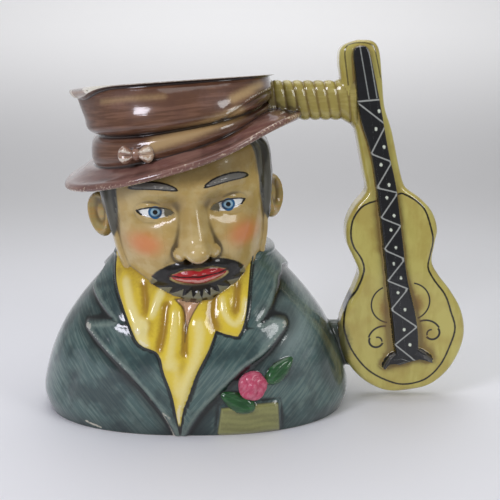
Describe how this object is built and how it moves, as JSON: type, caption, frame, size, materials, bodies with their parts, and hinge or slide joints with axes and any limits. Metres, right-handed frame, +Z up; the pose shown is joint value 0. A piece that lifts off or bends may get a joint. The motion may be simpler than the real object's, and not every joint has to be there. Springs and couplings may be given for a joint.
{
  "type": "ceramic character beer mug",
  "caption": "Hollow glazed mug cast as the head and shoulders of a man in a cocked hat, open at the crown, with a guitar as its handle.",
  "frame": {"origin": "centre of the flat foot, on the surface the mug stands on", "axes": "+Z up, -Y out of the figure's face, +X towards the guitar handle"},
  "size_m": [0.1883, 0.0953, 0.1599],
  "materials": {
    "glazed_earthenware": "hand-painted under a clear glossy glaze"
  },
  "bodies": {
    "root": {"jug": "glazed_earthenware"}
  },
  "joints": []
}
